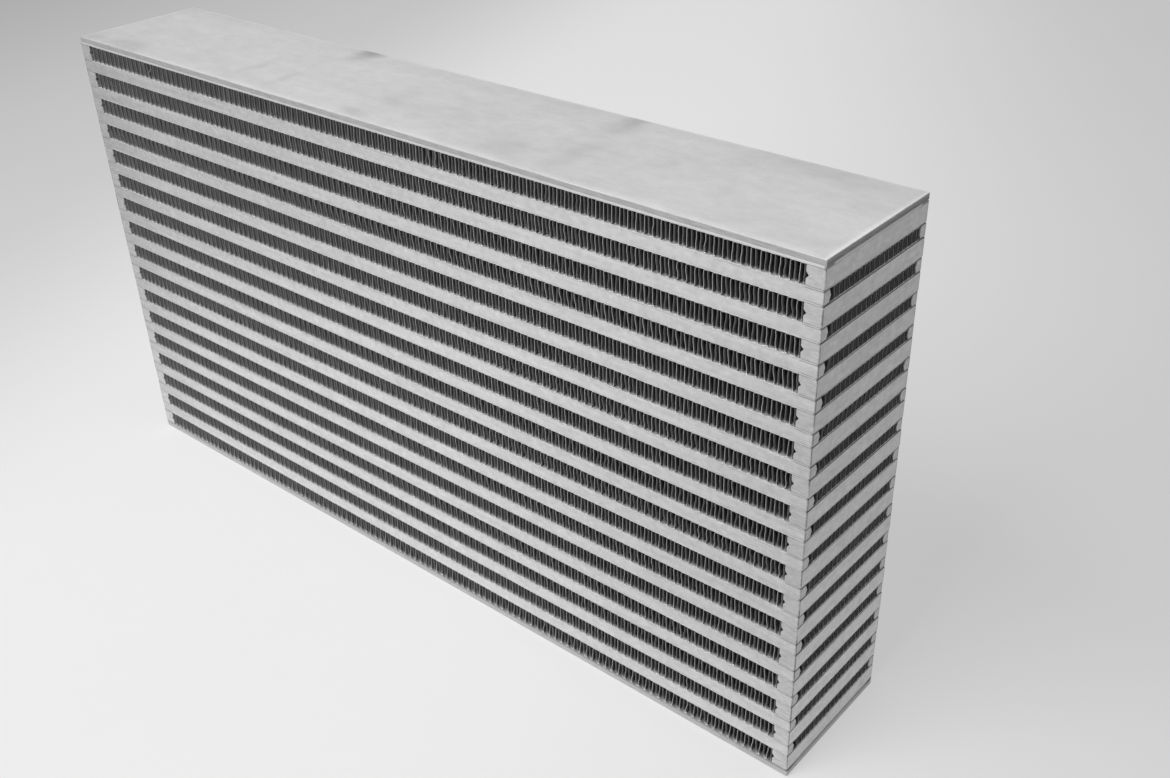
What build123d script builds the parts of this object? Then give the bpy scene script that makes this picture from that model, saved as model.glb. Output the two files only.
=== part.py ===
"""Bar-and-plate intercooler core, ready for its end tanks.

Flat layers are stacked and brazed into one block. Cooling-air layers are open at the front and back and
closed at the left and right by short bars. Charge-air layers lie between them, open at the left and right
and closed at the front and back by long bars. A thin parting sheet separates each layer from the next, a
folded fin strip fills each layer, and a side plate closes the top and the bottom.

Frame: origin at the middle of the underside, +X from the left tank face to the right one, +Y from the
front to the back, +Z up. Sizes are in millimetres.
"""

import os
from math import hypot

from build123d import *

# ---- Driving dimensions -------------------------------------------------------------------------------

core_length = 560.0  # left tank face to right tank face, the charge air's way
core_depth = 89.0  # front to back, the cooling air's way
charge_rows = 16  # the cooling rows are one more

plate_gauge = 3.4  # side plates, top and bottom
outer_sheet_gauge = 1.2  # sheet brazed under each side plate
sheet_gauge = 0.6  # parting sheets between the layers

cooling_height = 10.0  # free height of a cooling-air layer
charge_height = 6.4  # free height of a charge-air layer

cooling_bar_width = 9.5  # short bars, measured along X
groove_depth = 1.4  # V groove along a short bar's inner face
groove_width = 3.2

charge_bar_width = 4.5  # long bars, flat part, measured along Y
nose_depth = 1.2  # wedge along a long bar's inner face

# One modelled fold stands for several of the real strip's, so its gauge holds the metal of them all.
cooling_fold_step = 9.5
cooling_fin_gauge = 0.7
charge_fold_step = 4.8
charge_fin_gauge = 0.5

fin_recess = 0.2  # fin edges lie this far inside the faces that the air enters
fin_end_gap = 0.8  # between the last fold and the bar beside it

# ---- Sizes that follow --------------------------------------------------------------------------------

cooling_rows = charge_rows + 1
row_pitch = cooling_height + charge_height + 2 * sheet_gauge
first_cooling_bottom = plate_gauge + outer_sheet_gauge
first_charge_bottom = first_cooling_bottom + cooling_height + sheet_gauge
stack_top = first_cooling_bottom + charge_rows * row_pitch + cooling_height
core_height = stack_top + outer_sheet_gauge + plate_gauge

cooling_bottoms = [first_cooling_bottom + row * row_pitch for row in range(cooling_rows)]
charge_bottoms = [first_charge_bottom + row * row_pitch for row in range(charge_rows)]

cooling_fin_span = core_length - 2 * (cooling_bar_width + fin_end_gap)
charge_fin_span = core_depth - 2 * (charge_bar_width + nose_depth + fin_end_gap)

# Local X of these planes is the row frame's X or Y, and local Y is its Z.
front_face = Plane.XZ.offset(core_depth / 2)
left_face = Plane.YZ.offset(-core_length / 2)


def export(builder, label):
    """Label a finished piece, write its file and say what it holds."""
    builder.part.label = label
    export_step(builder.part, f"parts/{label}.step")
    print(f"{label}: {len(builder.part.solids())} solid(s), {builder.part.volume:.0f} mm3")


# ---- Sheets and side plates ---------------------------------------------------------------------------


def flat_layers(bottoms, gauge):
    """Full-size sheets of one gauge, each lying at its own height."""
    with BuildPart() as layers:
        for bottom in bottoms:
            with BuildSketch(Plane.XY.offset(bottom)):
                Rectangle(core_length, core_depth)
            extrude(amount=gauge)
    return layers


# ---- Closing bars -------------------------------------------------------------------------------------


def cooling_bars():
    """The right-hand short bars: square section, with a V groove along the face turned to the fins."""
    inner_face = core_length / 2 - cooling_bar_width
    with BuildPart() as bars:
        for bottom in cooling_bottoms:
            with BuildSketch(front_face):
                with Locations((inner_face, bottom)):
                    Rectangle(cooling_bar_width, cooling_height, align=(Align.MIN, Align.MIN))
                    with Locations((0, cooling_height / 2)):
                        Polygon(
                            (0, groove_width / 2),
                            (0, -groove_width / 2),
                            (groove_depth, 0),
                            align=None,
                            mode=Mode.SUBTRACT,
                        )
            extrude(amount=-core_depth)
    return bars


def charge_bars():
    """The front long bars: flat outside, with a wedge-shaped nose along the face turned to the fins."""
    outer_face = -core_depth / 2
    inner_face = outer_face + charge_bar_width
    with BuildPart() as bars:
        for bottom in charge_bottoms:
            with BuildSketch(left_face):
                Polygon(
                    (outer_face, bottom),
                    (inner_face, bottom),
                    (inner_face + nose_depth, bottom + charge_height / 2),
                    (inner_face, bottom + charge_height),
                    (outer_face, bottom + charge_height),
                    align=None,
                )
            extrude(amount=core_length)
    return bars


# ---- Fin strips ---------------------------------------------------------------------------------------


def fold_outline(span, height, step, gauge):
    """Closed outline of a zigzag strip, its folds touching the bottom and top of a layer that starts at 0."""
    folds = max(2, round(span / step))
    pitch = span / folds
    upright_gauge = gauge * hypot(pitch, height) / pitch
    across = [-span / 2 + fold * pitch for fold in range(folds + 1)]
    upper = [(x, upright_gauge if fold % 2 else height) for fold, x in enumerate(across)]
    lower = [(x, z - upright_gauge) for x, z in reversed(upper)]
    return upper + lower


def cooling_fin(bottom):
    """Fin strip of one cooling layer, its channels running from front to back."""
    outline = fold_outline(cooling_fin_span, cooling_height, cooling_fold_step, cooling_fin_gauge)
    with BuildPart() as fin:
        with BuildSketch(front_face.offset(-fin_recess)):
            with BuildLine():
                Polyline([(x, bottom + z) for x, z in outline], close=True)
            make_face()
        extrude(amount=2 * fin_recess - core_depth)
    return fin


def charge_fin(bottom):
    """Fin strip of one charge layer, its channels running from left to right."""
    outline = fold_outline(charge_fin_span, charge_height, charge_fold_step, charge_fin_gauge)
    with BuildPart() as fin:
        with BuildSketch(left_face.offset(fin_recess)):
            with BuildLine():
                Polyline([(y, bottom + z) for y, z in outline], close=True)
            make_face()
        extrude(amount=core_length - 2 * fin_recess)
    return fin


# ---- The assembly, one file for each node -------------------------------------------------------------

os.makedirs("parts", exist_ok=True)

export(flat_layers([0], plate_gauge), "bottom_side_plate")
export(flat_layers([plate_gauge], outer_sheet_gauge), "bottom_outer_sheet")
export(flat_layers([stack_top], outer_sheet_gauge), "top_outer_sheet")
export(flat_layers([core_height - plate_gauge], plate_gauge), "top_side_plate")

for row, bottom in enumerate(charge_bottoms, start=1):
    below_and_above = [bottom - sheet_gauge, bottom + charge_height]
    export(flat_layers(below_and_above, sheet_gauge), f"parting_sheets_{row:02d}")
    export(charge_fin(bottom), f"charge_fin_{row:02d}")

for row, bottom in enumerate(cooling_bottoms, start=1):
    export(cooling_fin(bottom), f"cooling_fin_{row:02d}")

right_bars = cooling_bars()
with BuildPart() as left_bars:
    mirror(right_bars.part, about=Plane.YZ)
export(right_bars, "cooling_bars_right")
export(left_bars, "cooling_bars_left")

front_bars = charge_bars()
with BuildPart() as back_bars:
    mirror(front_bars.part, about=Plane.XZ)
export(front_bars, "charge_bars_front")
export(back_bars, "charge_bars_back")

print(f"core: {core_length:.1f} x {core_depth:.1f} x {core_height:.1f} mm, {cooling_rows} + {charge_rows} rows")
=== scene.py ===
# %% [markdown]
# # A bar-and-plate intercooler core
#
# A turbocharged engine breathes hot compressed air, and an intercooler cools it on the way. Its working part
# is this core: flat layers of aluminium, stacked and brazed into one block. Every second layer carries the
# charge air from end to end, and the layers between them let cooling air through from front to back. Bars
# close the sides of each layer, thin sheets part the layers, and a folded strip of fins fills each one.
#
# The measured solids come from a CAD model, the frame. They give each part's size and place. This lesson
# dresses them: it models the real fins at their true spacing, rounds and mismatches the bars as a saw and a
# furnace leave them, and gives each surface its finish.

# %% Open the frame
import math
import random
from contextlib import contextmanager

import bmesh
import bpy
import numpy as np
from mathutils import Matrix, Vector


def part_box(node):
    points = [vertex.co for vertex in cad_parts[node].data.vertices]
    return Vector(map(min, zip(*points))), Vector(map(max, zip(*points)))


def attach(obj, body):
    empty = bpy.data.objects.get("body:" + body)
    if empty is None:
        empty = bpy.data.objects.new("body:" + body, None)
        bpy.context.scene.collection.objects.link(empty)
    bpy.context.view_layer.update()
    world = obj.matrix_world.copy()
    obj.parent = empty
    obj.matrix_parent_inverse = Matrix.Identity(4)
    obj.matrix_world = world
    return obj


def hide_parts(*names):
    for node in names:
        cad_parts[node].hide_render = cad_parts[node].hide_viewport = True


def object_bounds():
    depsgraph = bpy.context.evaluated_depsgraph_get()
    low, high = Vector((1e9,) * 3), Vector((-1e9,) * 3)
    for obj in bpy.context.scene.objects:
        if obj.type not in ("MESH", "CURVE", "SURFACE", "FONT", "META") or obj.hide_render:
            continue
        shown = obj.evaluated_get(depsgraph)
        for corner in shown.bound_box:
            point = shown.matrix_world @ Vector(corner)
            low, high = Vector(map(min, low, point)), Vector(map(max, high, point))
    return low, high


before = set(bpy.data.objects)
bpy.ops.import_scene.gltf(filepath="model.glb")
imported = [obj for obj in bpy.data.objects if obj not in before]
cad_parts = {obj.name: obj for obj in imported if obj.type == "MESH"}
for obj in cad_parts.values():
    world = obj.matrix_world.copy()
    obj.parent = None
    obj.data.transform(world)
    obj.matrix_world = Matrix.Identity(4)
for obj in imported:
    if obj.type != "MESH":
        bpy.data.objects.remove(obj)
cad_low, cad_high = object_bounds()
MM = 0.001
core_length, core_depth, core_height = cad_high - cad_low
print(f"the frame holds {len(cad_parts)} nodes")
print(f"the core is {core_length / MM:.0f} mm long, {core_depth / MM:.0f} deep, {core_height / MM:.0f} high")

# %% [markdown]
# ## The camera
#
# A camera can be aimed by hand until the picture looks right, or set from numbers that were worked out
# once. Numbers are used here, because the block's straight edges show any error of a tenth of a degree.
# The camera stands in front of the right-hand corner and looks down and to the left, a little out of level.

# %% Set up the camera
camera_place = Vector((0.5140, -0.4663, 0.5278))
camera_azimuth = math.radians(41.00)
camera_drop = math.radians(31.13)
camera_roll = math.radians(-1.71)

camera_data = bpy.data.cameras.new("camera")
camera_data.sensor_width = 36.0
camera_data.lens = 39.46
camera_data.clip_start = 0.01
camera = bpy.data.objects.new("camera", camera_data)
bpy.context.scene.collection.objects.link(camera)
turn = Matrix.Rotation(camera_azimuth, 4, "Z")
tilt = Matrix.Rotation(math.radians(90.0) - camera_drop, 4, "X")
roll = Matrix.Rotation(camera_roll, 4, "Z")
camera.matrix_world = Matrix.Translation(camera_place) @ turn @ tilt @ roll
bpy.context.scene.camera = camera
print(f"camera {(camera_place - (cad_low + cad_high) / 2).length:.2f} m from the middle of the core")

# %% [markdown]
# ## Shader maths that reads like maths
#
# A material is a network of small nodes. Wiring each sum by hand hides the idea, so a Signal wraps one
# node socket and takes Python's operators. An expression such as 1 - mask * 0.4 then adds its own Math
# nodes. A Finish is one material in the making, and its add method makes every other kind of node.


# %% Signals
class Signal:
    """One output socket of a material, ready for maths."""

    def __init__(self, finish, socket):
        self.finish = finish
        self.socket = socket

    def __add__(self, other):
        return self.finish.maths("ADD", self, other)

    __radd__ = __add__

    def __sub__(self, other):
        return self.finish.maths("SUBTRACT", self, other)

    def __rsub__(self, other):
        return self.finish.maths("SUBTRACT", other, self)

    def __mul__(self, other):
        return self.finish.maths("MULTIPLY", self, other)

    __rmul__ = __mul__

    def __abs__(self):
        return self.finish.maths("ABSOLUTE", self, 0.0)


# %% Finishes in the making
class Finish:
    """A material in the making. Its patterns read Object coordinates, which are metres in the row frame."""

    def __init__(self, name):
        self.material = bpy.data.materials.new(name)
        self.material.use_nodes = True
        self.tree = self.material.node_tree
        self.tree.nodes.clear()
        self.place = self.add("ShaderNodeTexCoord", output="Object")

    def add(self, kind, settings=None, inputs=None, output=0):
        """Adds a node, sets it up, fills or links its inputs, and returns one of its outputs."""
        node = self.tree.nodes.new(kind)
        for key, value in (settings or {}).items():
            setattr(node, key, value)
        for key, value in (inputs or {}).items():
            if isinstance(value, Signal):
                self.tree.links.new(value.socket, node.inputs[key])
            else:
                node.inputs[key].default_value = value
        return None if output is None else Signal(self, node.outputs[output])

    def maths(self, operation, first, second):
        """One step of arithmetic on two signals or numbers."""
        return self.add("ShaderNodeMath", {"operation": operation}, {0: first, 1: second})

    def axis(self, letter):
        """The X, Y or Z coordinate, in metres."""
        return self.add("ShaderNodeSeparateXYZ", None, {"Vector": self.place}, letter)

    def inside(self, letter):
        """How far a point lies inside the core's nearer end, along X, or nearer face, along Y."""
        return (core_length, core_depth)["XY".index(letter)] / 2 - abs(self.axis(letter))

    def facing(self, letter):
        """1 where the surface faces along an axis, either way, and 0 where it runs along it."""
        normal = self.add("ShaderNodeNewGeometry", output="Normal")
        return abs(self.add("ShaderNodeSeparateXYZ", None, {"Vector": normal}, letter))

    def stretched(self, scale):
        """The coordinates, scaled by a different amount along each axis."""
        return self.add("ShaderNodeMapping", None, {"Vector": self.place, "Scale": scale})

    def noise(self, scale, detail=3.0, roughness=0.5):
        """Smooth noise from 0 to 1. scale counts its features for each metre along X, Y and Z."""
        inputs = {"Vector": self.stretched(scale), "Scale": 1.0, "Detail": detail, "Roughness": roughness}
        return self.add("ShaderNodeTexNoise", None, inputs, "Fac")

    def ramp(self, value, start, end, low=0.0, high=1.0):
        """A smooth step from low to high as value goes from start to end, which may be the smaller one."""
        settings = {"interpolation_type": "SMOOTHSTEP"}
        inputs = {"Value": value, "From Min": start, "From Max": end, "To Min": low, "To Max": high}
        return self.add("ShaderNodeMapRange", settings, inputs, "Result")

    def band(self, value, middle, reach):
        """1 where value is at the middle, falling smoothly to 0 at reach to either side."""
        return self.ramp(abs(value - middle), 0.0, reach, 1.0, 0.0)

    def grey(self, value):
        """A neutral colour of that brightness."""
        return self.add("ShaderNodeCombineColor", None, {"Red": value, "Green": value, "Blue": value})

    def bump(self, height, distance):
        """Normals tilted as if height stood that many metres proud where it is 1."""
        return self.add("ShaderNodeBump", None, {"Height": height, "Distance": distance})

    def done(self, constants, **signals):
        """Ends the material in a Principled shader. Constants go on its own sockets, signals are linked."""
        links = {key.replace("_", " "): value for key, value in signals.items()}
        shader = self.add("ShaderNodeBsdfPrincipled", None, {**constants, **links})
        self.add("ShaderNodeOutputMaterial", None, {"Surface": shader}, output=None)
        print(f"{self.material.name}: {len(self.tree.nodes)} nodes")
        return self.material


def varied(base, *patterns):
    """base, moved up and down by patterns that go from 0 to 1. Each comes with its whole swing."""
    for pattern, swing in patterns:
        base = base + swing * (pattern - 0.5)
    return base

# %% [markdown]
# ## The studio
#
# The core stands on a seamless pale sweep. A wide floor and a world of nearly its colour do for a sweep
# from every side. One large lamp stands high in front, so its light is soft and the right-hand end falls
# into half shade. The world fills the rest, as white studio walls do. The rays that only look at the floor,
# straight or in the metal, see part of its colour as glow: painted light that thins the shadow on it, as if
# the sweep were lit from below as well. Painted shade darkens the floor towards its left and right. For
# mirrored rays alone it is painted darker still, to the left and round a place in front of the right-hand
# corner: a painted reflection of a dark room beyond the sweep and of whoever stands at the camera. Far off,
# beyond the lamp's light, the floor takes on the world's own tone, so no horizon shows.

# %% Lay the floor
FLOOR_REACH = 12.0
FLOOR_TONE = 0.8
FLOOR_GLOW = 0.6
FLOOR_SHEEN = 0.04
# Painted shade on the floor: its colour darkens towards the left and the right, as the lamp's light falls
# off.
FALLOFFS = (  # which way the floor darkens, where that starts and ends, and by how much
    ("left", 0.3, 0.75, 0.25),
    ("left", 0.6, 1.7, 0.22),
    ("right", 0.0, 0.7, 0.22),
)
STANDING_PLACE = (0.28, -0.42, 0.0)
STANDING_REACH = 0.45
DARK_ROOM_SPAN = (0.3, 1.2)
DARK_ROOM_DEPTH = 0.45
FAR_FLOOR_SPAN = (2.0, 3.6)
WORLD_TONE = 0.8
WORLD_SEEN = 0.8

bpy.ops.object.select_all(action="DESELECT")
bpy.ops.mesh.primitive_plane_add(size=2 * FLOOR_REACH)
floor = bpy.context.object
floor.name = "floor"

sweep = Finish("pale sweep")
x, y = sweep.axis("X"), sweep.axis("Y")
ways = {"left": -1.0 * x - 0.35 * y, "right": x + 0.5 * y}
falloff = 1.0
for way, start, end, depth in FALLOFFS:
    falloff = falloff - depth * sweep.ramp(ways[way], start, end)
sweep_tone = FLOOR_TONE * varied(1.0, (sweep.noise((3.0, 3.0, 3.0)), 0.03)) * falloff

camera_ray = sweep.add("ShaderNodeLightPath", output="Is Camera Ray")
glossy_ray = sweep.add("ShaderNodeLightPath", output="Is Glossy Ray")
# Painted reflection: for mirrored rays alone, the floor's colour is darkened round the standing place and to
# the left, as if the metal mirrored someone at the camera and a dark room.
places = {0: sweep.place, 1: STANDING_PLACE}
from_standing = sweep.add("ShaderNodeVectorMath", {"operation": "DISTANCE"}, places, "Value")
painted_standing_shade = sweep.ramp(from_standing, 0.0, STANDING_REACH, 1.0, 0.0)
painted_dark_room = sweep.ramp(ways["left"], *DARK_ROOM_SPAN, 0.0, DARK_ROOM_DEPTH)
sweep_tone = sweep_tone * (1 - glossy_ray * sweep.maths("MAXIMUM", painted_standing_shade, painted_dark_room))

from_core = sweep.add("ShaderNodeVectorMath", {"operation": "LENGTH"}, {0: sweep.place}, "Value")
far_off = camera_ray * sweep.ramp(from_core, *FAR_FLOOR_SPAN)
horizon_tone = WORLD_TONE * WORLD_SEEN - FLOOR_SHEEN
sweep_tone = sweep_tone * (1 - far_off) + horizon_tone * far_off
# Painted light: rays that look at the floor, straight or in the metal, see part of its colour as glow, which
# thins the shadow on it.
looking = FLOOR_GLOW * sweep.maths("MAXIMUM", camera_ray, glossy_ray)
glow = sweep.maths("MAXIMUM", looking, far_off)
floor.data.materials.append(
    sweep.done(
        {"Roughness": 0.9, "Specular IOR Level": 0.2, "Emission Strength": 1.0},
        Base_Color=sweep.grey(sweep_tone * (1 - glow)),
        Emission_Color=sweep.grey(sweep_tone * glow),
    )
)

# %% Hang the lamp and light the world
LAMP_SIDE = 2.0
LAMP_PLACE = Vector((-0.5, -2.1, 2.3))
LAMP_POWER = 95.0
WORLD_FILL = 0.5

lamp_data = bpy.data.lights.new("soft box", "AREA")
lamp_data.size = LAMP_SIDE
lamp_data.energy = LAMP_POWER
lamp = bpy.data.objects.new("soft_box", lamp_data)
bpy.context.scene.collection.objects.link(lamp)
towards_core = (-LAMP_PLACE).to_track_quat("-Z", "Y").to_matrix().to_4x4()
lamp.matrix_world = Matrix.Translation(LAMP_PLACE) @ towards_core

world = bpy.data.worlds.new("studio")
world.use_nodes = True
bpy.context.scene.world = world
world_nodes = world.node_tree.nodes
world_links = world.node_tree.links
world_nodes.clear()
rays = world_nodes.new("ShaderNodeLightPath")
seen = world_nodes.new("ShaderNodeMath")
seen.operation = "MAXIMUM"
world_links.new(rays.outputs["Is Camera Ray"], seen.inputs[0])
world_links.new(rays.outputs["Is Glossy Ray"], seen.inputs[1])
level = world_nodes.new("ShaderNodeMapRange")
level.inputs["To Min"].default_value = WORLD_FILL
level.inputs["To Max"].default_value = WORLD_SEEN
world_links.new(seen.outputs[0], level.inputs["Value"])
backdrop = world_nodes.new("ShaderNodeBackground")
backdrop.inputs["Color"].default_value = (WORLD_TONE, WORLD_TONE, WORLD_TONE, 1.0)
world_links.new(level.outputs["Result"], backdrop.inputs["Strength"])
world_output = world_nodes.new("ShaderNodeOutputWorld")
world_links.new(backdrop.outputs[0], world_output.inputs["Surface"])
bpy.context.scene.view_settings.view_transform = "Standard"
print(f"lamp {LAMP_PLACE.length:.1f} m away, world fill {WORLD_FILL}")

# %% [markdown]
# ## Finishes
#
# All the metal is aluminium that has been through a brazing furnace. That leaves it matt and pale, with
# faint stains where flux ran and streaks along the way that each piece was rolled or drawn. A shiny
# chrome-like metal would look wrong here, so the finishes are rough, and partly metallic. Cut and sheared
# faces are greyer than rolled ones. Masks are worked out from the height and depth of a point in its layer,
# so one finish serves all the rows: joints darken near a bar's edges, and fins darken behind their mouths,
# which is painted shade. Some tones carry painted light and shade besides, and each is marked where it is.
# A name that ends in SPAN says where such a mask starts and where it ends.


# %% The side plates' finish
LIP_REACH = 6 * MM
END_LIP_SHARE = 0.7
END_LIP_GAIN = 1.7
PAINTED_SHADE_END_SPAN = (-60 * MM, -280 * MM)
DARKER_BACK_SPAN = (18 * MM, 44 * MM)
STAIN_WOBBLE = 9 * MM
PLATE_STAINS_MM = (  # middle along X and Y, reach along X and Y, strength
    (-130, -18, 7, 34, 0.1),
    (-97, -24, 6, 32, 0.1),
    (-92, 45, 15, 26, 0.42),
    (-17, -6, 11, 32, 0.08),
    (-20, -38, 22, 11, 0.14),
    (115, 44, 13, 38, 0.26),
    (120, -10, 11, 40, 0.1),
    (82, -26, 22, 20, 0.1),
    (-235, -38, 26, 16, 0.14),
    (-275, -42, 24, 24, 0.16),
    (167, 5, 4, 5, 0.1),
    (235, 46, 70, 26, 0.1),
)


def plate_stains(plate, x, y):
    """The dark marks that the furnace left on the broad faces, added up."""
    wobble = varied(0.0, (plate.noise((40.0, 90.0, 40.0)), STAIN_WOBBLE))
    ragged_x = x + wobble
    ragged_y = y + 1.5 * wobble
    stained = 0.0
    for middle_x, middle_y, reach_x, reach_y, strength in PLATE_STAINS_MM:
        across = plate.band(ragged_x, middle_x * MM, reach_x * MM)
        stained = stained + strength * across * plate.band(ragged_y, middle_y * MM, reach_y * MM)
    return stained


def plate_top_tone(plate, clouds, rolling, speckle):
    """Pale rolled metal, stained, with painted shade at the far end, darker at the back, and a painted
    highlight at its rim.
    """
    x, y = plate.axis("X"), plate.axis("Y")
    blotches = plate.noise((70.0, 110.0, 70.0), detail=4.0, roughness=0.65)
    tone = varied(0.69, (clouds, 0.18), (blotches, 0.2), (rolling, 0.03), (speckle, 0.06))
    # Painted shade towards the far end, where the lamp's light falls off, and darker towards the back.
    end_shade_and_darker_back = 0.09 * plate.ramp(x, *PAINTED_SHADE_END_SPAN) + 0.035 * plate.ramp(y, *DARKER_BACK_SPAN)
    tone = tone * (1 - plate_stains(plate, x, y)) * (1 - end_shade_and_darker_back)
    # Painted highlight: a brighter band along the front and end rims, where the sheared slope faces the lamp.
    lip_reach = LIP_REACH * varied(1.0, (plate.noise((18.0, 18.0, 18.0)), 0.8))
    front_lip = plate.ramp(plate.inside("Y"), 0.0, lip_reach, 1.0, 0.0)
    end_lip = plate.ramp(plate.inside("X"), 0.0, END_LIP_SHARE * lip_reach, END_LIP_GAIN, 0.0)
    lip = plate.maths("MAXIMUM", front_lip, end_lip)
    return tone * (1 + 0.11 * lip * lip)


# %% The plates' sheared sides, and the whole finish
RAGGED_HEIGHT = 2.2 * MM
TORN_SPAN = (core_height - 3.2 * MM, core_height - 2.4 * MM)
RIM_SPAN = (0.55, 0.98)
BRIGHT_RIM_SPAN = (0.3, 0.6)


def plate_side_tone(plate):
    """Greyer sheared metal, with painted shade higher on the core and more on the end sides, darker still
    where the shear tore their lower part.
    """
    z = plate.axis("Z")
    shear_marks = plate.noise((160.0, 160.0, 900.0), detail=3.0)
    draw_marks = plate.noise((25.0, 25.0, 2600.0), detail=4.0, roughness=0.7)
    painted_upper_shade = plate.ramp(z, 0.1 * core_height, 0.9 * core_height)
    torn = plate.ramp(z - RAGGED_HEIGHT * shear_marks, *TORN_SPAN, 1.0, 0.0)
    # Painted shade: the sheared sides are darker higher on the core, and more where they face the core's
    # ends.
    tone = 0.49 - 0.08 * painted_upper_shade - (0.11 + 0.07 * torn) * painted_upper_shade * plate.facing("X")
    return varied(tone, (shear_marks, 0.22), (draw_marks, 0.22))


def rolled_plate_finish():
    """Rolled plate, stained by the furnace, with greyer sheared sides."""
    plate = Finish("rolled plate")
    clouds = plate.noise((9.0, 22.0, 22.0), detail=4.0, roughness=0.6)
    rolling = plate.noise((5.0, 900.0, 900.0), detail=2.0)
    speckle = plate.noise((700.0, 700.0, 700.0), detail=2.0)
    upright = plate.facing("Z")
    rubbed = plate.ramp(plate.noise((14.0, 14.0, 14.0)), 0.5, 0.65)
    bright_rim = 0.6 * rubbed * plate.ramp(upright, *BRIGHT_RIM_SPAN)
    side = plate.ramp(upright, *RIM_SPAN, 1.0, 0.0) * (1 - bright_rim)
    tone = plate_top_tone(plate, clouds, rolling, speckle) * (1 - side) + plate_side_tone(plate) * side
    tone = tone * (1 - side * (1 - side))
    roughness = 0.46 + 0.1 * clouds + 0.08 * side
    relief = plate.bump(0.5 * clouds + 0.3 * rolling + 0.2 * speckle, 0.05 * MM)
    return plate.done({"Metallic": 0.6}, Base_Color=plate.grey(tone), Roughness=roughness, Normal=relief)


rolled_plate = rolled_plate_finish()

# %% The sheets' finish
SHEET_END_SPAN = (1.5 * MM, 0.6 * MM)
SHEET_CORNER_SPAN = (8 * MM, 5 * MM)
BOTTOM_SHEET_SPAN = (4 * MM, 6 * MM)


def brazed_sheet_finish():
    """Thin sheet, seen almost only as a bright edge, with painted shade at its ends near the corners, and
    darker close to the bottom.
    """
    sheet = Finish("brazed sheet")
    streaks = sheet.noise((14.0, 14.0, 1500.0), detail=3.0)
    blotches = sheet.noise((60.0, 60.0, 300.0), detail=3.0)
    at_end = sheet.ramp(sheet.inside("X"), *SHEET_END_SPAN)
    at_corner = sheet.ramp(sheet.inside("Y"), *SHEET_CORNER_SPAN, 0.15, 1.0)
    at_bottom = sheet.ramp(sheet.axis("Z"), *BOTTOM_SHEET_SPAN, 1.0, 0.0)
    tone = varied(0.62, (streaks, 0.1), (blotches, 0.14))
    # Painted shade at the sheets' ends near the core's corners, where they sit back in shadow, and darker
    # close to the bottom.
    tone = tone * (1 - 0.6 * at_end * at_corner) * (1 - 0.45 * at_bottom)
    roughness = 0.42 + 0.16 * blotches
    relief = sheet.bump(streaks + blotches, 0.05 * MM)
    return sheet.done({"Metallic": 0.6}, Base_Color=sheet.grey(tone), Roughness=roughness, Normal=relief)


brazed_sheet = brazed_sheet_finish()

# %% Masks that follow the rows
CHARGE_ROWS = ("charge_fin_01", "charge_fin_02")
COOLING_ROWS = ("cooling_fin_01", "cooling_fin_02")
JOINT_SPAN = (0.45 * MM, 0.1 * MM)
OVER_SHORT_BAR_SPAN = (12 * MM, 8 * MM)
SEAM_SPAN = (0.9 * MM, 0.3 * MM)


def height_in_row(finish, rows, below=0.0):
    """A point's height above the bottom of its own row, less than 0 for a given bit below it."""
    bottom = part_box(rows[0])[0].z
    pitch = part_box(rows[1])[0].z - bottom
    return finish.maths("FLOORED_MODULO", finish.axis("Z") - bottom + below, pitch) - below


def joint_lines(finish, rows):
    """1 along the top and bottom edge of every bar in a stack, where flux has darkened the joint."""
    low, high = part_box(rows[0])
    half = (high.z - low.z) / 2
    from_edge = half - abs(height_in_row(finish, rows, 0.5 * MM) - half)
    stain = finish.noise((45.0, 45.0, 90.0), detail=4.0, roughness=0.65)
    stained = finish.ramp(stain, 0.4, 0.7, 0.05, 0.7)
    over_short_bar = finish.ramp(finish.inside("X"), *OVER_SHORT_BAR_SPAN)
    return finish.ramp(from_edge, *JOINT_SPAN) * finish.maths("MAXIMUM", stained, over_short_bar)


def corner_seam(finish, clouds):
    """1 along the upright corners of the core, where a dark line runs, and less in cloudy patches."""
    at_corner = finish.ramp(finish.inside("X"), *SEAM_SPAN) * finish.ramp(finish.inside("Y"), *SEAM_SPAN)
    return at_corner * finish.ramp(clouds, 0.35, 0.6, 0.3, 1.0)


# %% The closing bars' finish
SAWN_SPAN = (0.8, 0.95)
FAR_END_SPAN = (-0.36 * core_length, -0.49 * core_length)


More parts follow.
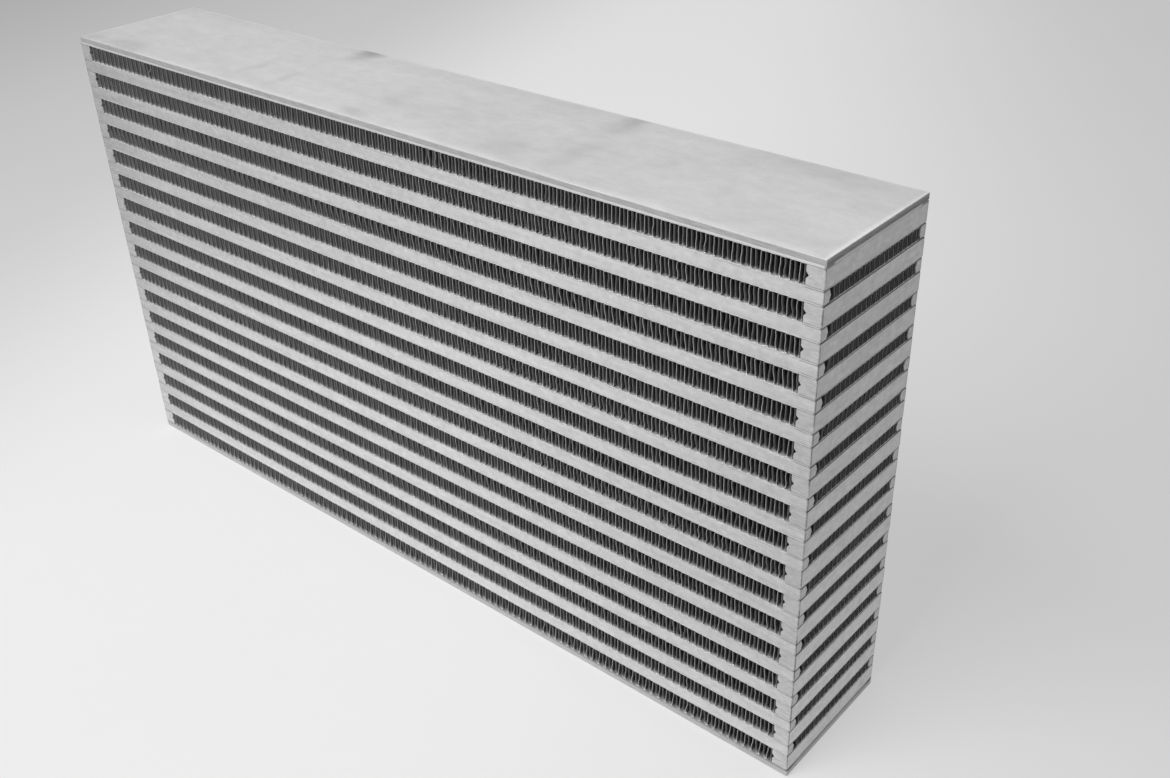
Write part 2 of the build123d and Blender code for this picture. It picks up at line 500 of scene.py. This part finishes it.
def drawn_bar_finish(name, die_scale, sawn_way, rows, side_tone, sawn_tone, height_shade, far_end_shade):
    """Drawn bar, with die lines along its length, bright and darker flecks, greyer sawn ends, and painted
    light and shade by height and at the far end.
    """
    bar = Finish(name)
    die_lines = bar.noise(die_scale, detail=4.0, roughness=0.65)
    layers = bar.noise((2.0, 2.0, 55.0), detail=1.0)
    clouds = bar.noise((55.0, 55.0, 130.0), detail=4.0, roughness=0.6)
    mottle = bar.noise((230.0, 230.0, 330.0), detail=3.0, roughness=0.7)
    flecks = bar.noise((420.0, 420.0, 420.0), detail=3.0, roughness=0.65)
    saw_marks = bar.noise((260.0, 260.0, 900.0), detail=3.0, roughness=0.6)
    patterns = ((die_lines, 0.2), (layers, 0.06), (flecks, 0.07), (clouds, 0.12), (mottle, 0.32))
    tone = varied(side_tone, *patterns) + 0.09 * bar.ramp(flecks, 0.62, 0.75)
    # Painted light and shade: lighter low down, where the floor throws light up, and darker higher up.
    tone = tone * (1 + height_shade * bar.ramp(bar.axis("Z"), 0.0, core_height, 1.0, -1.0))
    # Painted shade towards the far left end, where the lamp's light falls off.
    tone = tone * (1 - far_end_shade * bar.ramp(bar.axis("X"), *FAR_END_SPAN))
    sawn = bar.ramp(bar.facing(sawn_way), *SAWN_SPAN)
    tone = tone * (1 - sawn) + sawn_tone * varied(1.0, (saw_marks, 0.7)) * sawn
    tone = tone * (1 - 0.6 * joint_lines(bar, rows)) * (1 - 0.6 * corner_seam(bar, clouds))
    roughness = 0.42 + 0.16 * die_lines
    relief = bar.bump(0.7 * die_lines + 0.3 * flecks, 0.06 * MM)
    return bar.done({"Metallic": 0.88}, Base_Color=bar.grey(tone), Roughness=roughness, Normal=relief)


# The long bars' sawn ends and the short bars' sides make the core's end faces. Their tones are set lower than
# the front's: painted shade for the ends, which turn from the lamp, besides greyer sawn metal on the long
# bars' ends.
long_bar = drawn_bar_finish(
    "long bar", (5.0, 600.0, 600.0), "X", CHARGE_ROWS,
    side_tone=0.72, sawn_tone=0.53, height_shade=0.0, far_end_shade=0.13,
)
short_bar = drawn_bar_finish(
    "short bar", (600.0, 9.0, 600.0), "Y", COOLING_ROWS,
    side_tone=0.62, sawn_tone=0.65, height_shade=0.07, far_end_shade=0.0,
)

# %% The fins' finish
CUT_SPAN = (0.1 * MM, 0.25 * MM)
LIT_SPAN = (0.15 * MM, 1.2 * MM)
MOUTH_SPAN = (0.3 * MM, 2.6 * MM)
FOOT_HEIGHT = 1.5 * MM
LIT_SIDE_LAYER = "lit_side"
LIT_LEG_LAYER = "lit_leg"


def fin_finish(name, letter, rows, inner_tone, mouth_tone, cut_tone, foot_tone):
    """Thin folded strip with bright cut edges and feet, and painted light and shade: paler on one side, dark
    inside, lit at its mouths.
    """
    fin = Finish(name)
    mouth_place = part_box(rows[0])[1]["XY".index(letter)]
    depth = mouth_place - abs(fin.axis(letter))
    cut = fin.ramp(depth, *CUT_SPAN, 1.0, 0.0)
    mouth = fin.ramp(depth, *MOUTH_SPAN, 1.0, 0.0)
    lit_edge = fin.ramp(depth, *LIT_SPAN, 0.22, 0.0)
    lit_side_mask = fin.add("ShaderNodeAttribute", {"attribute_name": LIT_SIDE_LAYER}, None, "Fac")
    proud = fin.add("ShaderNodeAttribute", {"attribute_name": LIT_LEG_LAYER}, None, "Fac")
    patches = fin.noise((90.0, 90.0, 90.0), detail=3.0)
    puddles = fin.noise((260.0, 260.0, 8.0), detail=3.0, roughness=0.6)
    grain = fin.noise((1500.0, 1500.0, 300.0), detail=2.0)
    # Painted light and shade on the walls: dark deep inside the layer, lighter towards the mouth and brighter
    # still right at the edge, where light reaches in.
    lit_wall = 1.4 * inner_tone + 1.2 * mouth_tone * mouth + lit_edge
    shaded_wall = 0.95 * inner_tone + 0.85 * mouth_tone * mouth + lit_edge
    # One side of the strip is painted paler than the other: painted light and shade for the alternate legs,
    # which lean towards or away from the light.
    wall = shaded_wall * (1 - lit_side_mask) + lit_wall * lit_side_mask
    wall = varied(wall * varied(1.0, (patches, 0.5)), (grain, 0.02))
    # Every second leg's cut edge is painted brighter, a painted highlight.
    cut_edge = cut_tone * (0.45 + 0.55 * proud) * varied(1.0, (patches, 0.4))
    tone = wall * (1 - cut) + cut_edge * cut
    # Bright feet near the mouths, most on the paler side: partly braze, and partly painted light where light
    # from outside reaches the feet.
    foot_height = FOOT_HEIGHT * varied(1.0, (puddles, 1.4))
    foot = fin.ramp(height_in_row(fin, rows), 0.6 * foot_height, foot_height, 1.0, 0.0)
    foot = foot * (0.25 + 0.75 * lit_side_mask) * mouth
    tone = tone * (1 - foot) + foot_tone * foot
    roughness = 0.4 + 0.15 * patches
    relief = fin.bump(grain, 0.03 * MM)
    return fin.done({"Metallic": 0.75}, Base_Color=fin.grey(tone), Roughness=roughness, Normal=relief)


cooling_fin_finish = fin_finish(
    "cooling fin", "Y", COOLING_ROWS, inner_tone=0.09, mouth_tone=0.24, cut_tone=0.62, foot_tone=0.85
)
charge_fin_finish = fin_finish(
    "charge fin", "X", CHARGE_ROWS, inner_tone=0.05, mouth_tone=0.06, cut_tone=0.3, foot_tone=0.3
)

# %% [markdown]
# ## Helpers for modelling
#
# An operator acts on whatever is selected, so every step here starts by letting go of everything. The
# helper called editing opens one piece in edit mode and closes it again, and pick_edges selects only the
# edges that pass a test, as a hand would pick them by their place. What repeats is modelled once, and
# own_copy gives each copy a mesh of its own.


# %% Pick up and edit
TOUCH = 0.01 * MM
ALONG = 0.9
X_WAY = Vector((1, 0, 0))
Y_WAY = Vector((0, 1, 0))


def hold(piece):
    """Selects one piece alone and makes it the active one."""
    bpy.ops.object.select_all(action="DESELECT")
    piece.select_set(True)
    bpy.context.view_layer.objects.active = piece


@contextmanager
def editing(piece, kind):
    """Edit mode on one piece alone, picking vertices, edges or faces."""
    hold(piece)
    bpy.ops.object.mode_set(mode="EDIT")
    bpy.ops.mesh.select_mode(type=kind)
    yield
    bpy.ops.object.mode_set(mode="OBJECT")


def pick_edges(piece, wanted):
    """Selects only the edges whose middle and direction pass the test."""
    mesh = bmesh.from_edit_mesh(piece.data)
    bpy.ops.mesh.select_all(action="DESELECT")
    for edge in mesh.edges:
        start, end = (corner.co for corner in edge.verts)
        edge.select_set(wanted((start + end) / 2, (end - start).normalized()))
    bmesh.update_edit_mesh(piece.data)


def block(name, low, high):
    """A cube primitive made to fill the box between two corners, its object left at the origin."""
    bpy.ops.object.select_all(action="DESELECT")
    bpy.ops.mesh.primitive_cube_add(size=1.0, location=(low + high) / 2, scale=high - low)
    bpy.ops.object.transform_apply(location=True, rotation=True, scale=True)
    piece = bpy.context.object
    piece.name = name
    return piece


# %% Copy, join and finish
def own_copy(piece, name):
    """A copy of a piece with a mesh of its own."""
    twin = piece.copy()
    twin.data = piece.data.copy()
    twin.name = name
    bpy.context.scene.collection.objects.link(twin)
    return twin


def join(pieces, name):
    """Joins pieces into one object of that name."""
    hold(pieces[0])
    for piece in pieces:
        piece.select_set(True)
    bpy.ops.object.join()
    pieces[0].name = name
    return pieces[0]


def apply_modifier(piece, kind, **settings):
    """Adds a modifier, sets it up and applies it."""
    hold(piece)
    modifier = piece.modifiers.new(kind.lower(), kind)
    for key, value in settings.items():
        setattr(modifier, key, value)
    bpy.ops.object.modifier_apply(modifier=modifier.name)


def finish_piece(piece, node, finish, smooth_angle=40.0):
    """Shades a piece smoothly across its small bevels, paints it and lets it stand for its CAD node."""
    hold(piece)
    bpy.ops.object.shade_smooth_by_angle(angle=math.radians(smooth_angle))
    apply_modifier(piece, "WEIGHTED_NORMAL", keep_sharp=True)
    piece.data.materials.clear()
    piece.data.materials.append(finish)
    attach(piece, "root")
    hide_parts(node)


# %% [markdown]
# ## Side plates and outer sheets
#
# Each side plate is a piece of rolled plate, cut by a shear. The blade drags the face down a little before
# it bites, so the last few millimetres slope away, and the side below is left rough. A bevel on every edge
# alike would look moulded. So an inset ring round the outer face has its rim lowered, and only then are the
# edges rounded. One more ring keeps that smooth shading out of the flat, where the slightest tilt shows.


# %% Shape the plates
SHEAR_REACH = 3 * MM
SHEAR_DROP = 0.3 * MM
FLAT_RING = 4 * MM
RIM_ZONE = 1 * MM
PLATE_RIM_ROUND = 0.35 * MM
PLATE_CORNER_ROUND = 0.5 * MM
SHEET_RIM_ROUND = 0.2 * MM
SHEET_CORNER_ROUND = 0.3 * MM


def pick_broad_face(plate, height):
    """Selects the flat face at one height that is larger than any other there."""
    mesh = bmesh.from_edit_mesh(plate.data)
    bpy.ops.mesh.select_all(action="DESELECT")
    level = [face for face in mesh.faces if abs(face.calc_center_median().z - height) < TOUCH]
    max(level, key=lambda face: face.calc_area()).select_set(True)
    bmesh.update_edit_mesh(plate.data)


def sheared_plate(node, finish, slot_name, drop, rim_round, corner_round):
    """One plate in its CAD box: its outer rim dragged down by the shear, and its edges rounded."""
    low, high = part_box(node)
    plate = block(f"finished_{node}", low, high)
    up = 1 if high.z > core_height / 2 else -1
    outer, inner = (high.z, low.z) if up > 0 else (low.z, high.z)

    def pick_ring(height, at_rim):
        """Selects the edges at one height, either those along the outline or those further in."""

        def wanted(middle, way):
            along_rim = abs(middle.x) > high.x - RIM_ZONE or abs(middle.y) > high.y - RIM_ZONE
            return abs(middle.z - height) < TOUCH and along_rim == at_rim

        pick_edges(plate, wanted)

    with editing(plate, "FACE"):
        for height in (outer, inner):
            pick_broad_face(plate, height)
            bpy.ops.mesh.inset(thickness=SHEAR_REACH)
    with editing(plate, "EDGE"):
        pick_ring(outer, at_rim=True)
        bpy.ops.transform.translate(value=(0, 0, -up * drop))
        pick_ring(outer, at_rim=False)
        bpy.ops.mesh.bevel(offset=SHEAR_REACH / 2, segments=3, affect="EDGES")
    with editing(plate, "FACE"):
        pick_broad_face(plate, outer)
        bpy.ops.mesh.inset(thickness=FLAT_RING)
    with editing(plate, "EDGE"):
        pick_edges(plate, lambda middle, way: abs(way.z) > ALONG)
        bpy.ops.mesh.bevel(offset=corner_round, segments=2, affect="EDGES")
        pick_ring(outer - up * drop, at_rim=True)
        bpy.ops.mesh.bevel(offset=rim_round, segments=3, affect="EDGES")
    finish_piece(plate, node, finish)
    print(f"{plate.name}: {len(plate.data.polygons)} faces")


plate_rounds = (PLATE_RIM_ROUND, PLATE_CORNER_ROUND)
sheet_rounds = (SHEET_RIM_ROUND, SHEET_CORNER_ROUND)
for end in ("top", "bottom"):
    sheared_plate(f"{end}_side_plate", rolled_plate, "side_plate", SHEAR_DROP, *plate_rounds)
    sheared_plate(f"{end}_outer_sheet", brazed_sheet, "outer_sheet", 0.0, *sheet_rounds)

# %% [markdown]
# ## Parting sheets
#
# The sheets between the layers are thin, and only their edges show, as fine bright lines above and below
# each long bar. They come in pairs, one pair round each charge layer. They could be one stretched cube
# each, but a sheet cut by a shear never ends quite flush, so each edge is drawn back a little by its own
# amount.

# %% Shape the sheets
EDGE_BREAK = 0.08 * MM
SHEET_SHORTFALL = 0.2 * MM
END_SETBACK = 0.25 * MM
SHEET_EDGE_ZONE = 1 * MM
sheet_chance = random.Random(11)


def trim_ends(piece, shortfall, chance):
    """Draws each of a piece's four sides back by its own small amount."""
    low, high = (Vector(corner) for corner in (piece.bound_box[0], piece.bound_box[6]))
    middle = (low + high) / 2
    for axis in (0, 1):
        half = high[axis] - middle[axis]
        for side in (-1, 1):
            cut = chance.uniform(0, shortfall) + (END_SETBACK if axis == 0 else 0)
            for vertex in piece.data.vertices:
                offset = (vertex.co[axis] - middle[axis]) * side
                if offset > half - SHEET_EDGE_ZONE:
                    vertex.co[axis] -= side * cut


def parting_pair(row):
    """The two sheets round one charge layer."""
    node = f"parting_sheets_{row:02d}"
    low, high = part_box(node)
    inner_low, inner_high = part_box(f"charge_fin_{row:02d}")
    sheets = []
    for bottom, top in ((low.z, inner_low.z), (inner_high.z, high.z)):
        sheet = block(f"sheet_{row:02d}", Vector((low.x, low.y, bottom)), Vector((high.x, high.y, top)))
        with editing(sheet, "EDGE"):
            bpy.ops.mesh.select_all(action="SELECT")
            bpy.ops.mesh.bevel(offset=EDGE_BREAK, segments=2, affect="EDGES")
        trim_ends(sheet, SHEET_SHORTFALL, sheet_chance)
        sheets.append(sheet)
    finish_piece(join(sheets, f"finished_{node}"), node, brazed_sheet)


charge_rows = sum(name.startswith("charge_fin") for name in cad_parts)
cooling_rows = sum(name.startswith("cooling_fin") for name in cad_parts)
for row in range(1, charge_rows + 1):
    parting_pair(row)
print(f"{2 * charge_rows} parting sheets")

# %% [markdown]
# ## Closing bars
#
# The bars are drawn to a section that holds the fins in place. A short bar has a V groove along the face
# that the fins meet, and a long bar has a blunt wedge there. One bar of each kind is modelled: a cube is
# cut by bisect planes and the new edges are pushed in or out. Copies then go to every layer, each with its
# own mesh, so that each can end a little short, as bars do that a saw has cut.


# %% Round and cut a bar
BAR_EDGE_ROUND = 0.2 * MM
BAR_END_ROUND = 0.08 * MM
SHARP_MARGIN = 0.1 * MM


def round_long_edges(bar, way_of_bar):
    """Rounds the four long edges of a bar's block."""
    with editing(bar, "EDGE"):
        pick_edges(bar, lambda middle, way: abs(way.dot(way_of_bar)) > ALONG)
        bpy.ops.mesh.bevel(offset=BAR_EDGE_ROUND, segments=2, affect="EDGES")


def shape_inner_face(bar, levels, inner, way_in, push):
    """Cuts a bar through at some heights and pushes the middle cut of its inner face in or out."""
    middle_level = levels[len(levels) // 2]

    def is_middle_cut(middle, way):
        return abs(middle.dot(way_in) - inner) < TOUCH and abs(middle.z - middle_level) < TOUCH

    with editing(bar, "EDGE"):
        for height in levels:
            bpy.ops.mesh.select_all(action="SELECT")
            bpy.ops.mesh.bisect(plane_co=(0, 0, height), plane_no=(0, 0, 1))
        pick_edges(bar, is_middle_cut)
        bpy.ops.transform.translate(value=push * way_in)


def break_ends(bar, way_of_bar, stays_sharp):
    """Breaks the edges round a bar's two sawn ends, but for the rim of its groove or nose."""
    with editing(bar, "EDGE"):
        mesh = bmesh.from_edit_mesh(bar.data)
        bpy.ops.mesh.select_all(action="DESELECT")
        for edge in mesh.edges:
            sawn = [abs(face.normal.dot(way_of_bar)) > ALONG for face in edge.link_faces]
            middle = (edge.verts[0].co + edge.verts[1].co) / 2
            edge.select_set(any(sawn) and not all(sawn) and not stays_sharp(middle))
        bmesh.update_edit_mesh(bar.data)
        bpy.ops.mesh.bevel(offset=BAR_END_ROUND, segments=1, affect="EDGES")


# %% Model a short bar
GROOVE_DEPTH = 1.4 * MM
GROOVE_WIDTH = 3.2 * MM

low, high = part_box("cooling_bars_right")
row_low, row_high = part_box("cooling_fin_01")
row_middle = (row_low.z + row_high.z) / 2
short_pattern = block(
    "short_pattern", Vector((low.x, low.y, row_low.z)), Vector((high.x, high.y, row_high.z))
)
round_long_edges(short_pattern, Y_WAY)
groove_levels = (row_middle - GROOVE_WIDTH / 2, row_middle, row_middle + GROOVE_WIDTH / 2)
shape_inner_face(short_pattern, groove_levels, low.x, X_WAY, GROOVE_DEPTH)
groove_end = low.x + GROOVE_DEPTH + SHARP_MARGIN
break_ends(short_pattern, Y_WAY, lambda middle: middle.x < groove_end)
print(f"short bar: {len(short_pattern.data.polygons)} faces")

# %% Model a long bar
NOSE = 1.2 * MM

low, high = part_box("charge_bars_front")
row_low, row_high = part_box("charge_fin_01")
row_middle = (row_low.z + row_high.z) / 2
flat_face = high.y - NOSE
long_pattern = block(
    "long_pattern", Vector((low.x, low.y, row_low.z)), Vector((high.x, flat_face, row_high.z))
)
round_long_edges(long_pattern, X_WAY)
shape_inner_face(long_pattern, (row_middle,), flat_face, Y_WAY, NOSE)
nose_start = flat_face - SHARP_MARGIN
break_ends(long_pattern, X_WAY, lambda middle: middle.y > nose_start)
print(f"long bar: {len(long_pattern.data.polygons)} faces")

# %% [markdown]
# The left bars are the right ones mirrored, and the back ones are the front ones mirrored. A mirrored mesh
# is inside out, so its normals are flipped back.


# %% Copy the bars into every layer
BAR_SHORTFALLS = (0.3 * MM, 0.12 * MM)
BAR_END_ZONE = 0.6 * MM


def copied_bar(pattern, name, height, mirrored_axis, chance):
    """A copy of a bar with its own mesh, moved up by height, mirrored if asked, and sawn a little short."""
    bar = own_copy(pattern, name)
    flip = [1, 1, 1, 1]
    if mirrored_axis is not None:
        flip[mirrored_axis] = -1
    bar.data.transform(Matrix.Translation((0, 0, height)) @ Matrix.Diagonal(flip))
    if mirrored_axis is not None:
        bar.data.flip_normals()
    for axis, size in enumerate((core_length, core_depth)):
        for side in (-1, 1):
            cut = chance.uniform(0, BAR_SHORTFALLS[axis])
            for vertex in bar.data.vertices:
                if vertex.co[axis] * side > size / 2 - BAR_END_ZONE:
                    vertex.co[axis] -= side * cut
    return bar


def bar_stack(node, pattern, rows, fin, mirrored_axis, finish, seed):
    """All the bars along one side of the core, as one piece."""
    chance = random.Random(seed)
    first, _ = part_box(f"{fin}_01")
    bars = []
    for row in range(1, rows + 1):
        low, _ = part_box(f"{fin}_{row:02d}")
        bars.append(copied_bar(pattern, f"{node}_{row:02d}", low.z - first.z, mirrored_axis, chance))
    finish_piece(join(bars, f"finished_{node}"), node, finish)
    print(f"finished_{node}: {rows} bars")


bar_stack("cooling_bars_right", short_pattern, cooling_rows, "cooling_fin", None, short_bar, 21)
bar_stack("cooling_bars_left", short_pattern, cooling_rows, "cooling_fin", 0, short_bar, 22)
bar_stack("charge_bars_front", long_pattern, charge_rows, "charge_fin", None, long_bar, 23)
bar_stack("charge_bars_back", long_pattern, charge_rows, "charge_fin", 1, long_bar, 24)
for pattern in (short_pattern, long_pattern):
    bpy.data.objects.remove(pattern)

# %% [markdown]
# ## The folded fins
#
# The fins are the part that takes the most skill. Each is one thin strip, folded to and fro hundreds of
# times. Modelling every fold by hand would be endless, and a bump texture would look flat from the side.
# So one fold is drawn: a plane becomes the foot, and its edge is extruded up, across and down again. An
# array repeats it along the layer, the fold lines are bevelled into rounded crests, each leg is then bent
# a little by its own amount, and a solidify modifier gives the strip its gauge. The braze that ran down the
# legs froze in drops at the mouths of the cooling layers, and a few crushed sphere primitives stand for them.

# %% Fold a strip
FIN_GAUGE = 0.2 * MM
CREST_ROUND = 0.7 * MM
LEG_STEPS = 3


def mark_points(piece, layer, values):
    """Stores a number at each point of a piece, for a finish to read."""
    marks = piece.data.attributes.new(layer, "FLOAT", "POINT")
    marks.data.foreach_set("value", values)


def flat_strip(name, legs, span, length, height):
    """A folded strip with no thickness yet, its folds side by side along X and its foot on the XY plane."""
    spacing = span / legs
    bpy.ops.object.select_all(action="DESELECT")
    bpy.ops.mesh.primitive_plane_add(size=1.0, location=(spacing / 2, 0, 0))
    strip = bpy.context.object
    strip.name = name
    strip.scale = (spacing, length, 1)
    bpy.ops.object.transform_apply(location=True, rotation=True, scale=True)
    up = [(0, 0, height / LEG_STEPS)] * LEG_STEPS
    down = [(0, 0, -height / LEG_STEPS)] * LEG_STEPS
    with editing(strip, "EDGE"):
        pick_edges(strip, lambda middle, way: middle.x > spacing - TOUCH)
        for step in (*up, (spacing, 0, 0), *down):
            bpy.ops.mesh.extrude_region_move(TRANSFORM_OT_translate={"value": step})
    array = {"count": legs // 2, "use_relative_offset": False, "use_constant_offset": True}
    array |= {"constant_offset_displace": (2 * spacing, 0, 0), "use_merge_vertices": True}
    apply_modifier(strip, "ARRAY", merge_threshold=TOUCH, **array)

    def is_fold(middle, way):
        at_crest = min(middle.z, height - middle.z) < TOUCH
        return abs(way.y) > ALONG and at_crest and TOUCH < middle.x < span - TOUCH

    with editing(strip, "EDGE"):
        pick_edges(strip, is_fold)
        bpy.ops.mesh.bevel(offset=CREST_ROUND, segments=2, affect="EDGES")
    # Every second leg is marked for a painted highlight on its cut edge.
    mark_points(strip, LIT_LEG_LAYER, [round(vertex.co.x / spacing) % 2 for vertex in strip.data.vertices])
    strip.data.transform(Matrix.Translation((-span / 2, 0, 0)))
    return strip


# %% Bend its legs
# Each of these is a share of the space between two legs, apart from the number of bends.
SWAY_BENDS = 14
SWAY = 0.10
TWIST = 0.16
END_SCATTER = 0.035
BELLY = 0.09
BELLY_SCATTER = 0.045
CRUSHED_BELLY = 1.2


def settle(strip, legs, span, height, chance, crushed):
    """Bends each leg a little, and more where folds were knocked. Returns where the legs' feet now stand."""
    spacing = span / legs
    count = legs + 1
    nominal = np.arange(count) * spacing - span / 2
    bends = np.linspace(-span / 2, span / 2, SWAY_BENDS)
    sway = np.interp(nominal, bends, [chance.gauss(0, SWAY * spacing) for _ in bends])
    twist = chance.uniform(-TWIST, TWIST) * spacing * np.where(np.arange(count) % 2, 1, -1)
    scatter = lambda size: np.array([chance.gauss(0, size * spacing) for _ in range(count)])
    foot = sway + twist + scatter(END_SCATTER)
    crown = sway - twist + scatter(END_SCATTER)
    belly = chance.uniform(-BELLY, BELLY) * spacing + scatter(BELLY_SCATTER)
    for middle, reach, amount in crushed:
        near = np.clip(1 - np.abs(nominal - middle) / reach, 0, 1)
        crown += near * amount * scatter(1.0)
        belly += near * amount * scatter(CRUSHED_BELLY)
    for shift in (foot, crown):
        shift[[0, -1]] = 0
    points = np.empty(3 * len(strip.data.vertices), np.float32)
    strip.data.vertices.foreach_get("co", points)
    points = points.reshape(-1, 3)
    along = points[:, 0]
    rise = np.clip(points[:, 2] / height, 0, 1)
    lean = (1 - rise) * np.interp(along, nominal, foot) + rise * np.interp(along, nominal, crown)
    bow = np.sin(2 * np.pi * rise) * np.interp(along, nominal, belly)
    points[:, 0] += lean + bow
    strip.data.vertices.foreach_set("co", points.ravel())
    strip.data.update()
    return nominal + foot


# %% Braze it in
BRAZE_HEIGHT = 0.1 * MM
BEAD_REACH = 0.5 * MM
BEAD_SHAPE = Vector((1.2, 0.8, 0.6))
BEAD_SHARE = 0.8
BEAD_SIZES = (0.6, 1.1)


def fill_crests(strip, height):
    """Raises the inner side of each crest by the braze that has filled it."""
    for vertex in strip.data.vertices:
        if FIN_GAUGE / 4 < vertex.co.z < FIN_GAUGE:
            vertex.co.z += BRAZE_HEIGHT
        elif FIN_GAUGE / 4 < height - vertex.co.z < FIN_GAUGE:
            vertex.co.z -= BRAZE_HEIGHT


def braze_beads(feet, length, chance):
    """Small drops of braze, frozen where every second leg meets the sheet, at both mouths of a layer."""
    bpy.ops.object.select_all(action="DESELECT")
    bpy.ops.mesh.primitive_ico_sphere_add(subdivisions=1, radius=BEAD_REACH)
    drop = bpy.context.object
    # The drops take the paler, painted-light side of the fin's finish.
    mark_points(drop, LIT_SIDE_LAYER, [1.0] * len(drop.data.vertices))
    beads = []
    for foot in feet[1::2]:
        for end in (-1, 1):
            if chance.random() > BEAD_SHARE:
                continue
            reach = chance.uniform(*BEAD_SIZES) * BEAD_REACH * BEAD_SHAPE
            place = Vector((foot, end * (length / 2 - reach.y), reach.z - FIN_GAUGE / 2))
            bead = own_copy(drop, "bead")
            bead.data.transform(Matrix.Translation(place) @ Matrix.Diagonal((*(reach / BEAD_REACH), 1)))
            beads.append(bead)
    bpy.data.objects.remove(drop)
    return beads


# %% Put a strip in each layer
FIN_SMOOTH_ANGLE = 50.0


def fin_strip(pattern, node, legs, span, finish, quarter_turn, seed, crushed):
    """One layer's strip, bent, thickened, brazed and put in place. A quarter turn makes it a charge strip."""
    low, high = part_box(node)
    middle = (low + high) / 2
    height = high.z - low.z - FIN_GAUGE
    chance = random.Random(seed)
    strip = own_copy(pattern, f"finished_{node}")
    feet = settle(strip, legs, span, height, chance, crushed)
    one_side = len(strip.data.vertices)
    apply_modifier(strip, "SOLIDIFY", thickness=FIN_GAUGE, offset=0.0)
    # One side of the strip is marked to be painted paler, as painted light.
    mark_points(strip, LIT_SIDE_LAYER, [float(index < one_side) for index in range(len(strip.data.vertices))])
    fill_crests(strip, height)
    if not quarter_turn:
        strip = join([strip] + braze_beads(feet, high.y - low.y, chance), strip.name)
    place = Matrix.Translation((middle.x, middle.y, low.z + FIN_GAUGE / 2))
    if quarter_turn:
        place = place @ Matrix.Rotation(math.radians(90), 4, "Z")
    strip.data.transform(place)
    finish_piece(strip, node, finish, FIN_SMOOTH_ANGLE)


def fill_layers(kind, rows, legs, finish, quarter_turn, seed, knocked):
    """A strip in every layer of one kind. knocked lists, for some rows, where folds were knocked."""
    low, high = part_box(f"{kind}_01")
    size = high - low
    across, length = (size.y, size.x) if quarter_turn else (size.x, size.y)
    span = across - FIN_GAUGE
    pattern = flat_strip(f"{kind}_pattern", legs, span, length, size.z - FIN_GAUGE)
    for row in range(1, rows + 1):
        crushed = knocked.get(row, ())
        fin_strip(pattern, f"{kind}_{row:02d}", legs, span, finish, quarter_turn, seed + row, crushed)
    bpy.data.objects.remove(pattern)
    print(f"{kind}: {rows} strips of {legs} legs")


# %% Fill the layers
COOLING_LEGS = 224
CHARGE_LEGS = 36
# For a row, where its folds were knocked: the middle and reach of each place, and how hard.
KNOCKED_COOLING = {cooling_rows: [(50 * MM, 11 * MM, 0.3), (-205 * MM, 4 * MM, 0.25)]}
KNOCKED_CHARGE = {14: [(-37 * MM, 5 * MM, 0.35)]}
fill_layers("cooling_fin", cooling_rows, COOLING_LEGS, cooling_fin_finish, False, 100, KNOCKED_COOLING)
fill_layers("charge_fin", charge_rows, CHARGE_LEGS, charge_fin_finish, True, 200, KNOCKED_CHARGE)
